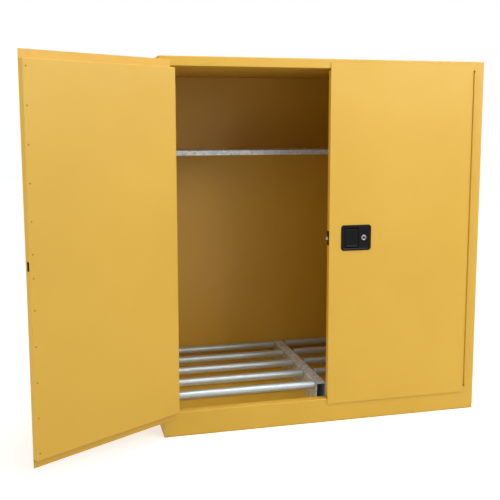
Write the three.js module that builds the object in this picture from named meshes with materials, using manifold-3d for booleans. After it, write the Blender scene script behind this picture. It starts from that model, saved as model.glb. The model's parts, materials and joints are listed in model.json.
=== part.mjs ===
// Flammable storage cabinet for two upright drums: a double-walled steel shell, two hinged
// doors with a three-point paddle latch, a half-depth shelf and two roller beds.
// Millimetres, +Z up, the doors face -Y. The origin is on the floor, under the cabinet's centre.
import * as THREE from "three";
import { mergeVertices } from "three/addons/utils/BufferGeometryUtils.js";
import Module from "manifold-3d";

const wasm = await Module();
wasm.setup();

// ---- Driving dimensions -------------------------------------------------------------------
// Every place below is in the front frame's own terms: x is measured from the cabinet's centre
// plane, y backwards from the face of the front frame, z up from the floor.
const WIDTH = 1499;
const HEIGHT = 1651;
const DEPTH = 864;
const SIDE = WIDTH / 2;
const WALL = 38; // outer face to inner face of the double wall
const SHEET = 1.2; // shell, liner and door sheet
const PLATE = 1.5; // front frame, base, hinge leaves and shelf
const CLEAR = 0.3; // left between two pieces that touch
const PLAY = 0.5; // left round a piece that turns or slides
const OVERRUN = 1; // how far a cutting solid runs past the face it cuts

const JAMB_X = 705.25;
const OPENING_BOTTOM = 110;
const OPENING_TOP = 1610;
const FRAME_DEPTH = 40;
const FRAME_RETURN = 15;

const INNER_X = SIDE - WALL;
const INNER_BACK = DEPTH - WALL;
const LINER_FRONT = FRAME_DEPTH + CLEAR;
const FLOOR = 58; // top of the sump floor
const FOLD = 18; // folded edges of the shell sheets
const RIB = { width: 60, inset: 76, places: [140, 445, 750] };

const DOOR_ANGLE = 148.4; // how far the left door stands open
const DOOR = {
  front: -4.5,
  back: 25.5,
  hingeEdge: 696.75,
  freeEdge: 4.5,
  bottom: 121.5,
  top: 1601,
  skinBottom: 85.5,
  skinTop: 1634.5,
};
const HINGE = { x: 701, y: -8, pin: 1.5, bore: 1.9, knuckle: 3.5, knuckles: 12, frameLeaf: 32, doorLeaf: 24 };

const LATCH_Z = 858;
const BEZEL = { x: 132, width: 144, height: 117, corner: 13, proud: 3, bevel: 1.5 };
const TRAY = { width: 128, height: 101, back: 16, clear: 1 };
const POCKET = { x: 111, width: 66, height: 97, floor: 11 };
const PADDLE = { width: 62, drop: 42, grip: 4, barrel: 4, thick: 5 };
const TRUNNION = { y: -2.5, up: 36, radius: 2.5, length: 72, socket: 74 };
const LOCK = { x: 169, recess: 44, sunk: 1.5, flange: 13.5, barrel: 10, back: 22 };
const LOCK_CAM = { length: 24, width: 10, thick: 2 };
const KEYHOLE = { width: 2, height: 8, depth: 11 };
const BOLT = { y: 12, height: 15, depth: 12, throw: 12, tail: 50, play: 0.75 };
const EDGE_PLATE = { height: 64, front: -1, back: 24 };
const STRIKE = { height: 36, depth: 18 };
const ROD = { x: 45, y: 12, radius: 5, start: 45, engage: 12, tip: 5, hole: 6.5 };

const SHELF = { top: 1240, side: 708, front: 470, rear: 823, lip: 24, hem: 10 };
const BRACKET = { leg: 28, drop: 32, front: 486, rear: 812 };

const ROLLER = { radius: 19, wall: 2, cap: 10, near: 30, far: 678, z: 151 };
const ROLLER_ROW = { first: 95, pitch: 175, count: 5 };
const AXLE = { radius: 5.5, hole: 6.2, overhang: 3 };
const RAIL = { front: 68, rear: 818, height: 104, thick: 2.5, innerWeb: 25, outerWeb: 683, outerEnd: 707 };

const VENT = { y: 740, low: 230, high: 1480, pipe: 30, bore: 25.4, flange: 38, lock: 36, rim: 3 };
const VENT_CAP = { radius: 33, thick: 8, spigot: 24.5, spigotLength: 12, socket: 18, socketDepth: 5 };
const ARRESTER = { thick: 3, hole: 4, ring: 14, holes: 6 };
const LUG = { y: 800, z: 130, width: 40, height: 24, thick: 2, stud: 4, studLength: 9, nut: 7, nutTop: 6 };

const SIDES_LARGE = 20; // flats round a vent or a lock
const SIDES = 16; // flats round a roller or an axle
const SIDES_SMALL = 12; // flats round a pin, a knuckle or a rod
const HEX = 6;
const CORNER_SEGMENTS = 5;
const MERGE = 1e-4;

// ---- Materials ----------------------------------------------------------------------------
const finish = (color, roughness, metalness) =>
  new THREE.MeshStandardMaterial({ color, roughness, metalness });
const YELLOW = finish(0xe0b040, 0.45, 0);
const ZINC = finish(0xb9c0c4, 0.4, 0.9);
const TUBE = finish(0xc9ced2, 0.3, 1);
const STEEL = finish(0x8d9194, 0.45, 1);
const NICKEL = finish(0xd6d6d2, 0.25, 1);
const BLACK = finish(0x151515, 0.5, 0);
const BRASS = finish(0xb48a3c, 0.35, 1);

// ---- Solids -------------------------------------------------------------------------------
// A closed three.js geometry as a solid that can be joined and cut.
function solid(geometry) {
  geometry.deleteAttribute("normal");
  geometry.deleteAttribute("uv");
  const merged = mergeVertices(geometry, MERGE);
  const mesh = new wasm.Mesh({
    numProp: 3,
    vertProperties: merged.attributes.position.array,
    triVerts: new Uint32Array(merged.index.array),
  });
  return new wasm.Manifold(mesh);
}

const join = (...solids) => solids.reduce((whole, next) => whole.add(next));
const cut = (whole, ...tools) => tools.reduce((rest, tool) => rest.subtract(tool), whole);

const around = (centre, width) => [centre - width / 2, centre + width / 2];
const across = (side, near, far) => [side * near, side * far];
const widen = ([from, to], more) => [from - more, to + more];

// A block given as its spans along x, y and z, each in either order.
function block([x0, x1], [y0, y1], [z0, z1]) {
  const geometry = new THREE.BoxGeometry(Math.abs(x1 - x0), Math.abs(y1 - y0), Math.abs(z1 - z0));
  geometry.translate((x0 + x1) / 2, (y0 + y1) / 2, (z0 + z1) / 2);
  return solid(geometry);
}

// Turns a geometry made along +Y until it lies along the named axis.
function layAlong(geometry, axis) {
  if (axis === "x") geometry.rotateZ(-Math.PI / 2);
  if (axis === "z") geometry.rotateX(Math.PI / 2);
  return geometry;
}

// A round bar over a span of its axis; centre gives its place on the other two axes.
function bar(radius, axis, [from, to], centre, sides = SIDES) {
  const geometry = layAlong(new THREE.CylinderGeometry(radius, radius, Math.abs(to - from), sides), axis);
  const place = new THREE.Vector3(...centre);
  place[axis] = (from + to) / 2;
  geometry.translate(place.x, place.y, place.z);
  return solid(geometry);
}

// A ring-like solid turned about the x axis from [radius, x] points; the profile is a loop.
function turned(profile, [x, y, z], sides) {
  const points = [...profile, profile[0]].map(([radius, along]) => new THREE.Vector2(radius, along));
  const geometry = layAlong(new THREE.LatheGeometry(points, sides), "x");
  geometry.translate(x, y, z);
  return solid(geometry);
}

function ring(inner, outer, [from, to], centre, sides) {
  const profile = [[inner, from], [outer, from], [outer, to], [inner, to]];
  return turned(profile, centre, sides);
}

function roundedRectangle(width, height, corner) {
  const shape = new THREE.Shape();
  const x = width / 2 - corner;
  const y = height / 2 - corner;
  const quarter = Math.PI / 2;
  shape.absarc(x, y, corner, 0, quarter);
  shape.absarc(-x, y, corner, quarter, 2 * quarter);
  shape.absarc(-x, -y, corner, 2 * quarter, 3 * quarter);
  shape.absarc(x, -y, corner, 3 * quarter, 4 * quarter);
  shape.closePath();
  return shape;
}

function piece(name, material, whole) {
  const { vertProperties, triVerts } = whole.getMesh();
  const geometry = new THREE.BufferGeometry();
  geometry.setAttribute("position", new THREE.BufferAttribute(vertProperties, 3));
  geometry.setIndex(new THREE.BufferAttribute(triVerts, 1));
  geometry.computeVertexNormals();
  const mesh = new THREE.Mesh(geometry, material);
  mesh.name = name;
  return mesh;
}

const sideName = (side) => (side < 0 ? "left" : "right");

// ---- Shell --------------------------------------------------------------------------------
const SHELL_X = [-SIDE, SIDE];
const SHELL_FRONT = PLATE + CLEAR;
const SHELL_BACK = DEPTH - SHEET - CLEAR;
const SHELL_Z = [PLATE + CLEAR, HEIGHT - SHEET - CLEAR];
const ventHeight = (side) => (side < 0 ? VENT.low : VENT.high);

function ventHole(side) {
  const span = widen(across(side, INNER_X, SIDE).sort((a, b) => a - b), FOLD);
  return bar(VENT.pipe + PLAY, "x", span, [0, VENT.y, ventHeight(side)], SIDES_LARGE);
}

function outerSide(side) {
  const sheet = block(across(side, SIDE - SHEET, SIDE), [SHELL_FRONT, SHELL_BACK], SHELL_Z);
  const fold = block(across(side, SIDE - FOLD, SIDE), [SHELL_BACK - SHEET, SHELL_BACK], SHELL_Z);
  return piece(`outer_side_${sideName(side)}`, YELLOW, cut(join(sheet, fold), ventHole(side)));
}

function outerTop() {
  const sheet = block(SHELL_X, [SHELL_FRONT, DEPTH], [HEIGHT - SHEET, HEIGHT]);
  const edge = SIDE - SHEET - CLEAR;
  const length = [FRAME_DEPTH, DEPTH - FRAME_DEPTH];
  const folds = [-1, 1].map((side) =>
    block(across(side, edge - SHEET, edge), length, [HEIGHT - FOLD, HEIGHT]),
  );
  return piece("outer_top", YELLOW, join(sheet, ...folds));
}

function outerBack() {
  return piece("outer_back", YELLOW, block(SHELL_X, [DEPTH - SHEET, DEPTH], SHELL_Z));
}

// The base plate, with the hollow ribs that carry the sump floor and the drums on it.
function outerBase() {
  const plate = block(SHELL_X, [0, DEPTH], [0, PLATE]);
  const ribTop = FLOOR - SHEET - CLEAR;
  const ribX = [RIB.inset - SIDE, SIDE - RIB.inset];
  const ribs = RIB.places.map((y) => {
    const whole = block(ribX, around(y, RIB.width), [0, ribTop]);
    const tunnel = block(
      widen(ribX, OVERRUN),
      around(y, RIB.width - 2 * PLATE),
      [PLATE, ribTop - PLATE],
    );
    return cut(whole, tunnel);
  });
  return piece("outer_base", YELLOW, join(plate, ...ribs));
}

// The welded front frame: stiles, header and sill folded back round the doorway, with a strike
// hole in the header and one in the sill for the locking rods.
function frontFrame() {
  const doorway = [OPENING_BOTTOM, OPENING_TOP];
  const face = block(SHELL_X, [0, PLATE], [PLATE + CLEAR, HEIGHT]);
  const collar = block(around(0, 2 * (JAMB_X + PLATE)), [0, FRAME_DEPTH], widen(doorway, PLATE));
  const back = block(
    around(0, 2 * (JAMB_X + FRAME_RETURN)),
    [FRAME_DEPTH - PLATE, FRAME_DEPTH],
    widen(doorway, FRAME_RETURN),
  );
  const opening = block(around(0, 2 * JAMB_X), widen([0, FRAME_DEPTH], OVERRUN), doorway);
  const strikes = doorway.map((z) =>
    bar(ROD.hole + PLAY, "z", around(z, 2 * FRAME_RETURN), [ROD.x, ROD.y, 0], SIDES_SMALL),
  );
  return piece("front_frame", YELLOW, cut(join(face, collar, back), opening, ...strikes));
}

// ---- Liner --------------------------------------------------------------------------------
const LINER_Y = [LINER_FRONT, INNER_BACK - CLEAR];
const LINER_Z = [FLOOR - SHEET, OPENING_TOP - CLEAR];
const LINER_WIDE = around(0, 2 * (INNER_X + SHEET));

function innerSide(side) {
  const sheet = block(across(side, INNER_X, INNER_X + SHEET), LINER_Y, LINER_Z);
  return piece(`inner_side_${sideName(side)}`, YELLOW, cut(sheet, ventHole(side)));
}

function innerCeiling() {
  const sheet = block(LINER_WIDE, [LINER_FRONT, INNER_BACK + SHEET], [OPENING_TOP, OPENING_TOP + SHEET]);
  return piece("inner_ceiling", YELLOW, sheet);
}

function innerBack() {
  return piece("inner_back", YELLOW, block(LINER_WIDE, [INNER_BACK, INNER_BACK + SHEET], LINER_Z));
}

// The liquid-tight pan below the sill, which holds what a drum might spill.
function sumpPan() {
  const x = around(0, 2 * (INNER_X - CLEAR));
  const rim = OPENING_BOTTOM - PLATE;
  const whole = block(x, LINER_Y, [FLOOR - SHEET, rim]);
  const hollow = block(widen(x, -SHEET), widen(LINER_Y, -SHEET), [FLOOR, rim + OVERRUN]);
  return piece("sump_pan", YELLOW, cut(whole, hollow));
}

// ---- Shelf --------------------------------------------------------------------------------
function shelf() {
  const x = around(0, 2 * SHELF.side);
  const y = [SHELF.front, SHELF.rear];
  const bottom = SHELF.top - SHELF.lip;
  const whole = block(x, y, [bottom, SHELF.top]);
  const hollow = block(widen(x, -PLATE), widen(y, -PLATE), [bottom - OVERRUN, SHELF.top - PLATE]);
  const hem = block(x, [SHELF.front, SHELF.front + SHELF.hem], [bottom, bottom + PLATE]);
  return piece("shelf", ZINC, join(cut(whole, hollow), hem));
}

// The angle on each inner side that the shelf rests on.
function shelfBracket(side) {
  const top = SHELF.top - SHELF.lip - CLEAR;
  const edge = INNER_X - CLEAR;
  const length = [BRACKET.front, BRACKET.rear];
  const leg = block(across(side, edge - BRACKET.leg, edge), length, [top - PLATE, top]);
  const back = block(across(side, edge - PLATE, edge), length, [top - BRACKET.drop, top]);
  return piece(`shelf_bracket_${sideName(side)}`, ZINC, join(leg, back));
}

// ---- Roller beds --------------------------------------------------------------------------
const rollerPlaces = Array.from(
  { length: ROLLER_ROW.count },
  (_, i) => ROLLER_ROW.first + i * ROLLER_ROW.pitch,
);

// One channel rail: its web faces the rollers and its flanges point away from them.
function rail(side, name, web, end) {
  const back = web + Math.sign(end - web) * RAIL.thick;
  const open = end + Math.sign(end - web) * OVERRUN;
  const y = [RAIL.front, RAIL.rear];
  const z = [FLOOR + CLEAR, FLOOR + CLEAR + RAIL.height];
  const whole = block(across(side, web, end), y, z);
  const channel = block(across(side, back, open), widen(y, OVERRUN), widen(z, -RAIL.thick));
  const holes = rollerPlaces.map((place) =>
    bar(AXLE.hole, "x", around(side * web, 4 * RAIL.thick), [0, place, ROLLER.z]),
  );
  return piece(`rail_${sideName(side)}_${name}`, ZINC, cut(whole, channel, ...holes));
}

function axle(side, y, number) {
  const past = RAIL.thick + AXLE.overhang;
  const span = across(side, RAIL.innerWeb - past, RAIL.outerWeb + past);
  return piece(`axle_${sideName(side)}_${number}`, STEEL, bar(AXLE.radius, "x", span, [0, y, ROLLER.z]));
}

// A hollow roller with an end cap at each end, running on its axle.
function roller(side, y, number) {
  const length = ROLLER.far - ROLLER.near;
  const inside = ROLLER.radius - ROLLER.wall;
  const profile = [
    [AXLE.hole, 0],
    [ROLLER.radius, 0],
    [ROLLER.radius, length],
    [AXLE.hole, length],
    [AXLE.hole, length - ROLLER.cap],
    [inside, length - ROLLER.cap],
    [inside, ROLLER.cap],
    [AXLE.hole, ROLLER.cap],
  ];
  const start = Math.min(side * ROLLER.near, side * ROLLER.far);
  return piece(`roller_${sideName(side)}_${number}`, TUBE, turned(profile, [start, y, ROLLER.z], SIDES));
}

function rollerBed(side) {
  const bed = new THREE.Group();
  bed.add(rail(side, "inner", RAIL.innerWeb, CLEAR));
  bed.add(rail(side, "outer", RAIL.outerWeb, RAIL.outerEnd));
  rollerPlaces.forEach((y, i) => bed.add(axle(side, y, i + 1), roller(side, y, i + 1)));
  return bed;
}

// ---- Vents and ground lug -----------------------------------------------------------------
// The perforated disc across the middle of a vent pipe that stops a flame.
function flameArrester(side) {
  const middle = around(side * (SIDE - WALL / 2), ARRESTER.thick);
  const z = ventHeight(side);
  const disc = bar(VENT.bore + OVERRUN, "x", middle, [0, VENT.y, z], SIDES_LARGE);
  const holes = Array.from({ length: ARRESTER.holes }, (_, i) => {
    const turn = (i * 2 * Math.PI) / ARRESTER.holes;
    const place = [0, VENT.y + ARRESTER.ring * Math.cos(turn), z + ARRESTER.ring * Math.sin(turn)];
    return bar(ARRESTER.hole, "x", widen(middle, OVERRUN), place, HEX);
  });
  return cut(disc, ...holes);
}

// A pipe through both walls, flanged outside and locked inside.
function vent(side) {
  const centre = [0, VENT.y, ventHeight(side)];
  const outer = SIDE + CLEAR;
  const inner = INNER_X - CLEAR;
  const collar = (radius, near, far) => {
    const span = across(side, near, far).sort((a, b) => a - b);
    return ring(VENT.bore, radius, span, centre, SIDES_LARGE);
  };
  const body = join(
    collar(VENT.pipe, inner - VENT.rim, outer + VENT.rim),
    collar(VENT.flange, outer, outer + VENT.rim),
    collar(VENT.lock, inner - VENT.rim, inner),
    flameArrester(side),
  );
  return piece(`vent_${sideName(side)}`, YELLOW, body);
}

// The screw cap of a vent, with a square socket for the key that turns it.
function ventCap(side) {
  const z = ventHeight(side);
  const centre = [0, VENT.y, z];
  const seat = SIDE + 2 * CLEAR + VENT.rim;
  const top = seat + VENT_CAP.thick;
  const head = bar(VENT_CAP.radius, "x", across(side, seat, top), centre, SIDES_LARGE);
  const neck = across(side, seat - VENT_CAP.spigotLength, seat + OVERRUN);
  const spigot = bar(VENT_CAP.spigot, "x", neck, centre, SIDES_LARGE);
  const socket = block(
    across(side, top - VENT_CAP.socketDepth, top + OVERRUN),
    around(VENT.y, VENT_CAP.socket),
    around(z, VENT_CAP.socket),
  );
  return piece(`vent_cap_${sideName(side)}`, BLACK, cut(join(head, spigot), socket));
}

function groundLug() {
  const face = SIDE + CLEAR;
  const centre = [0, LUG.y, LUG.z];
  const tab = block([face, face + LUG.thick], around(LUG.y, LUG.width), around(LUG.z, LUG.height));
  const stud = bar(LUG.stud, "x", [face, face + LUG.studLength], centre, SIDES_SMALL);
  const nut = bar(LUG.nut, "x", [face, face + LUG.nutTop], centre, HEX);
  return piece("ground_lug", BRASS, join(tab, stud, nut));
}

// ---- Doors --------------------------------------------------------------------------------
// Doors are built closed; side is -1 for the left door and 1 for the right.
function doorSkin(side, cutouts) {
  const sheet = block(
    across(side, DOOR.freeEdge, DOOR.hingeEdge),
    [DOOR.front, DOOR.front + PLATE],
    [DOOR.skinBottom, DOOR.skinTop],
  );
  return piece(`door_skin_${sideName(side)}`, YELLOW, cut(sheet, ...cutouts));
}

// The inner pan: five sides of the door box, open towards the skin.
function doorPan(side, cutouts) {
  const x = [DOOR.freeEdge, DOOR.hingeEdge];
  const y = [DOOR.front + PLATE + CLEAR, DOOR.back];
  const z = [DOOR.bottom, DOOR.top];
  const whole = block(across(side, ...x), y, z);
  const hollow = block(
    across(side, ...widen(x, -SHEET)),
    [y[0] - OVERRUN, DOOR.back - SHEET],
    widen(z, -SHEET),
  );
  return piece(`door_pan_${sideName(side)}`, YELLOW, cut(whole, hollow, ...cutouts));
}

// One leaf of a piano hinge: a strip with every other knuckle of the barrel, from the first on.
function hingeLeaf(side, owner, strip, back, first) {
  const pitch = (DOOR.top - DOOR.bottom) / HINGE.knuckles;
  const front = HINGE.y + HINGE.knuckle + CLEAR;
  const centre = [side * HINGE.x, HINGE.y, 0];
  const x = across(side, ...strip);
  let leaf = block(x, [front, back], [DOOR.bottom, DOOR.top]);
  for (let i = first; i < HINGE.knuckles; i += 2) {
    const low = DOOR.bottom + i * pitch;
    const z = widen([low, low + pitch], -CLEAR);
    const barrel = bar(HINGE.knuckle, "z", z, centre, SIDES_SMALL);
    const web = block(x, [HINGE.y, front + OVERRUN], z);
    const bore = bar(HINGE.bore, "z", widen(z, OVERRUN), centre, SIDES_SMALL);
    leaf = join(leaf, cut(join(barrel, web), bore));
  }
  return piece(`hinge_leaf_${owner}_${sideName(side)}`, YELLOW, leaf);
}

const frameLeaf = (side) =>
  hingeLeaf(side, "frame", [JAMB_X - CLEAR, JAMB_X - CLEAR - PLATE], HINGE.frameLeaf, 0);
const doorLeaf = (side) =>
  hingeLeaf(side, "door", [DOOR.hingeEdge + CLEAR, DOOR.hingeEdge + CLEAR + PLATE], HINGE.doorLeaf, 1);

function hingePin(side) {
  const centre = [side * HINGE.x, HINGE.y, 0];
  const pin = bar(HINGE.pin, "z", [DOOR.bottom, DOOR.top], centre, SIDES_SMALL);
  return piece(`hinge_pin_${sideName(side)}`, STEEL, pin);
}

// ---- Latch --------------------------------------------------------------------------------
const BEZEL_FACE = DOOR.front - CLEAR - BEZEL.proud;
const PIVOT_Z = LATCH_Z + TRUNNION.up;

function latchCutout() {
  return block(
    around(BEZEL.x, TRAY.width + 2 * TRAY.clear),
    widen([DOOR.front, DOOR.front + PLATE], OVERRUN),
    around(LATCH_Z, TRAY.height + 2 * TRAY.clear),
  );
}

// The bezel's face plate, bevelled round its front and rear edges.
function bezelPlate() {
  const outline = roundedRectangle(
    BEZEL.width - 2 * BEZEL.bevel,
    BEZEL.height - 2 * BEZEL.bevel,
    BEZEL.corner,
  );
  const geometry = new THREE.ExtrudeGeometry(outline, {
    depth: BEZEL.proud - BEZEL.bevel,
    bevelThickness: BEZEL.bevel / 2,
    bevelSize: BEZEL.bevel,
    bevelSegments: 1,
    curveSegments: CORNER_SEGMENTS,
  });
  geometry.rotateX(Math.PI / 2);
  geometry.translate(BEZEL.x, DOOR.front - CLEAR - BEZEL.bevel / 2, LATCH_Z);
  return solid(geometry);
}

// The face plate with its tray, the paddle's pocket and the lock's shallow recess.
function latchBezel() {
  const front = BEZEL_FACE - OVERRUN;
  const tray = block(
    around(BEZEL.x, TRAY.width),
    [DOOR.front - BEZEL.proud, TRAY.back],
    around(LATCH_Z, TRAY.height),
  );
  const pocketZ = around(LATCH_Z, POCKET.height);
  const pocket = block(around(POCKET.x, POCKET.width), [front, POCKET.floor], pocketZ);
  const recess = block(around(LOCK.x, LOCK.recess), [front, BEZEL_FACE + LOCK.sunk], pocketZ);
  const lockHole = bar(LOCK.barrel + PLAY, "y", [front, TRAY.back + OVERRUN], [LOCK.x, 0, LATCH_Z]);
  const sockets = bar(
    TRUNNION.radius + PLAY,
    "x",
    around(POCKET.x, TRUNNION.socket),
    [0, TRUNNION.y, PIVOT_Z],
  );
  return piece("latch_bezel", BLACK, cut(join(bezelPlate(), tray), pocket, recess, lockHole, sockets));
}

// The paddle hangs from its trunnions and swings out at the bottom.
function latchPaddle() {
  const x = around(POCKET.x, PADDLE.width);
  const centre = [0, TRUNNION.y, PIVOT_Z];
  const front = TRUNNION.y - PADDLE.barrel;
  const bottom = LATCH_Z - PADDLE.drop;
  const barrel = bar(PADDLE.barrel, "x", x, centre);
  const blade = block(x, [front, front + PADDLE.thick], [bottom, PIVOT_Z]);
  const grip = block(x, [front, front + 2 * PADDLE.thick], [bottom, bottom + PADDLE.grip]);
  const trunnions = bar(TRUNNION.radius, "x", around(POCKET.x, TRUNNION.length), centre);
  return piece("latch_paddle", BLACK, join(barrel, blade, grip, trunnions));
}

function lockCylinder() {
  const seat = BEZEL_FACE + LOCK.sunk - CLEAR;
  const face = seat - LOCK.sunk;
  const centre = [LOCK.x, 0, LATCH_Z];
  const flange = bar(LOCK.flange, "y", [face, seat], centre, SIDES_LARGE);
  const barrel = bar(LOCK.barrel, "y", [face, LOCK.back], centre, SIDES_LARGE);
  const cam = block(
    [LOCK.x - LOCK_CAM.length, LOCK.x],
    [LOCK.back - LOCK_CAM.thick, LOCK.back],
    around(LATCH_Z, LOCK_CAM.width),
  );
  const keyhole = block(
    around(LOCK.x, KEYHOLE.width),
    [face - OVERRUN, face + KEYHOLE.depth],
    around(LATCH_Z, KEYHOLE.height),
  );
  return piece("lock_cylinder", NICKEL, cut(join(flange, barrel, cam), keyhole));
}

// The centre bolt, round-nosed so that a closing door pushes it in.
function latchBolt() {
  const radius = BOLT.depth / 2;
  const nose = DOOR.freeEdge - BOLT.throw + radius;
  const outline = new THREE.Shape();
  outline.moveTo(BOLT.tail, BOLT.y - radius);
  outline.lineTo(BOLT.tail, BOLT.y + radius);
  outline.lineTo(nose, BOLT.y + radius);
  outline.absarc(nose, BOLT.y, radius, Math.PI / 2, 1.5 * Math.PI);
  outline.closePath();
  const geometry = new THREE.ExtrudeGeometry(outline, {
    depth: BOLT.height,
    bevelEnabled: false,
    curveSegments: CORNER_SEGMENTS,
  });
  geometry.translate(0, 0, LATCH_Z - BOLT.height / 2);
  return piece("latch_bolt", NICKEL, solid(geometry));
}

function boltHole() {
  return block(
    around(DOOR.freeEdge, 2 * DOOR.freeEdge),
    widen(around(BOLT.y, BOLT.depth), BOLT.play),
    widen(around(LATCH_Z, BOLT.height), BOLT.play),
  );
}

function edgePlate() {
  const outer = DOOR.freeEdge - CLEAR;
  const plate = block(
    [outer - SHEET, outer],
    [EDGE_PLATE.front, EDGE_PLATE.back],
    around(LATCH_Z, EDGE_PLATE.height),
  );
  return piece("latch_edge_plate", BLACK, cut(plate, boltHole()));
}

// The slot in the left door's edge that the centre bolt enters.
function strikeSlot() {
  return block(
    around(-DOOR.freeEdge, 2 * DOOR.freeEdge),
    around(BOLT.y, STRIKE.depth),
    around(LATCH_Z, STRIKE.height),
  );
}

// A locking rod; up is 1 for the rod into the header and -1 for the rod into the sill.
function latchRod(up) {
  const start = LATCH_Z + up * ROD.start;
  const strike = up > 0 ? OPENING_TOP : OPENING_BOTTOM;
  const shoulder = strike + up * (ROD.engage - ROD.tip);
  const shaft = bar(ROD.radius, "z", [start, shoulder], [ROD.x, ROD.y, 0], SIDES_SMALL);
  const tip = new THREE.CylinderGeometry(ROD.radius, ROD.radius / 2, ROD.tip, SIDES_SMALL);
  tip.rotateX((-up * Math.PI) / 2);
  tip.translate(ROD.x, ROD.y, shoulder + (up * ROD.tip) / 2);
  return piece(`latch_rod_${up > 0 ? "top" : "bottom"}`, STEEL, join(shaft, solid(tip)));
}

function rodHoles() {
  return [DOOR.bottom, DOOR.top].map((z) =>
    bar(ROD.hole, "z", around(z, 2 * FRAME_RETURN), [ROD.x, ROD.y, 0], SIDES_SMALL),
  );
}

// ---- Assembly -----------------------------------------------------------------------------
function shell() {
  const group = new THREE.Group();
  for (const side of [-1, 1]) {
    group.add(outerSide(side), innerSide(side), vent(side), ventCap(side));
    group.add(frameLeaf(side), hingePin(side), shelfBracket(side), rollerBed(side));
  }
  group.add(outerTop(), outerBack(), outerBase(), frontFrame());
  group.add(innerCeiling(), innerBack(), sumpPan(), shelf(), groundLug());
  return group;
}

// The left door, swung open about its hinge pin.
function leftDoor() {
  const closed = new THREE.Group();
  closed.add(doorSkin(-1, []), doorPan(-1, [strikeSlot()]), doorLeaf(-1));
  closed.position.set(HINGE.x, -HINGE.y, 0);
  const swing = new THREE.Group();
  swing.add(closed);
  swing.position.set(-HINGE.x, HINGE.y, 0);
  swing.rotation.z = THREE.MathUtils.degToRad(-DOOR_ANGLE);
  return swing;
}

function rightDoor() {
  const door = new THREE.Group();
  door.add(doorSkin(1, [latchCutout()]), doorPan(1, [boltHole(), ...rodHoles()]), doorLeaf(1));
  door.add(latchBezel(), latchPaddle(), lockCylinder());
  door.add(latchBolt(), edgePlate(), latchRod(1), latchRod(-1));
  return door;
}

const frame = new THREE.Group();
frame.add(shell(), leftDoor(), rightDoor());
frame.position.y = -DEPTH / 2;

const cabinet = new THREE.Group();
cabinet.add(frame);
export default cabinet;
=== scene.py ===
import json
import math
from types import SimpleNamespace as Values

import bmesh
import bpy
import numpy as np
from mathutils import Matrix, Vector
from mathutils.geometry import tessellate_polygon


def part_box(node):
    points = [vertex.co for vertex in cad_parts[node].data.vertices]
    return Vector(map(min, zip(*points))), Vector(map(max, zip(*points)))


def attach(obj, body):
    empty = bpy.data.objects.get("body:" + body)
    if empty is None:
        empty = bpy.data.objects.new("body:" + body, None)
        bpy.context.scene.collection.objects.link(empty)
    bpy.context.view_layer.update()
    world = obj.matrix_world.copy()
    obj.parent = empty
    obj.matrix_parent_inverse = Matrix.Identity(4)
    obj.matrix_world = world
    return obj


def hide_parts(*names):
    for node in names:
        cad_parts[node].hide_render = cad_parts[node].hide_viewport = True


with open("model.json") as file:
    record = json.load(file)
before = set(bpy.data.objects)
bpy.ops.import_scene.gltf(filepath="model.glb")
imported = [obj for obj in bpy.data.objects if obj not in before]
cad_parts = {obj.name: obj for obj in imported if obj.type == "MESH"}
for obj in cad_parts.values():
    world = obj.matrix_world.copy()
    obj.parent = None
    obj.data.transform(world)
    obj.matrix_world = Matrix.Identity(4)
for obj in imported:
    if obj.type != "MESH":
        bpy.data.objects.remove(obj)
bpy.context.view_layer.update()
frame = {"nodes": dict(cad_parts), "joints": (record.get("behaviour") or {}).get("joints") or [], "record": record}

# A flammable storage cabinet for two drums. Lengths are in metres, in the CAD frame: x to the
# right, y backwards, z up. A piece that stands for a CAD node takes its place from that node's
# box, and the right-hand door's boxes, mirrored, also give the shut left-hand door.
MM = 0.001
SHEET = 1.2 * MM
PLATE = 1.5 * MM
RAIL_PLATE = 2.5 * MM
FOLD = 2.5 * MM  # outer radius of a folded sheet
TURN = 2.8 * MM  # how far the outermost sheets turn back at their edges
SEAM = 0.3 * MM
SHARP = 0.15 * MM
CAP = 14 * MM  # inset of the flat face that closes a pressed piece

ROUND_STEPS = 4
CORNER_STEPS = 5
SIDES = 48
SMALL_SIDES = 24
FEW_SIDES = 16
SHARP_ANGLE = math.radians(38)

SIDE_NAMES = {-1: "left", 1: "right"}
record = frame["record"]
SLOT_OF = {part["node"]: part["material_slot"] for part in record["subparts"]}
BODY_OF = {node: body for body, nodes in record["behaviour"]["bodies"].items() for node in nodes}
JOINTS = {joint["name"]: joint for joint in frame["joints"]}


# ---- Mesh building ----
def add(name, data):
    """Puts a new object into the scene."""
    obj = bpy.data.objects.new(name, data)
    bpy.context.scene.collection.objects.link(obj)
    return obj


def settle(obj):
    """Applies an object's modifiers to its mesh."""
    graph = bpy.context.evaluated_depsgraph_get()
    obj.data = bpy.data.meshes.new_from_object(obj.evaluated_get(graph))
    obj.modifiers.clear()
    return obj


def make(name, vertices, faces):
    """A new object with a closed mesh, its faces turned outwards."""
    mesh = bpy.data.meshes.new(name)
    mesh.from_pydata([tuple(vertex) for vertex in vertices], [], faces)
    shape = bmesh.new()
    shape.from_mesh(mesh)
    bmesh.ops.remove_doubles(shape, verts=shape.verts, dist=1e-6)
    bmesh.ops.recalc_face_normals(shape, faces=shape.faces)
    shape.to_mesh(mesh)
    shape.free()
    return add(name, mesh)


def skin(name, loops, closed=False):
    """Joins equal loops of points into a surface, with a face over each end unless it is closed."""
    count = len(loops[0])
    vertices = [point for loop in loops for point in loop]
    faces = []
    for i in range(len(loops) if closed else len(loops) - 1):
        near = i * count
        far = (i + 1) % len(loops) * count
        for k in range(count):
            step = (k + 1) % count
            faces.append((near + k, near + step, far + step, far + k))
    if not closed:
        faces.append(tuple(range(count)))
        faces.append(tuple(range(len(vertices) - count, len(vertices))))
    return make(name, vertices, faces)


def place(axis, u, v, along):
    """A point from its two cross coordinates and its distance along an axis."""
    return {"x": (along, u, v), "y": (u, along, v), "z": (u, v, along)}[axis]


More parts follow.
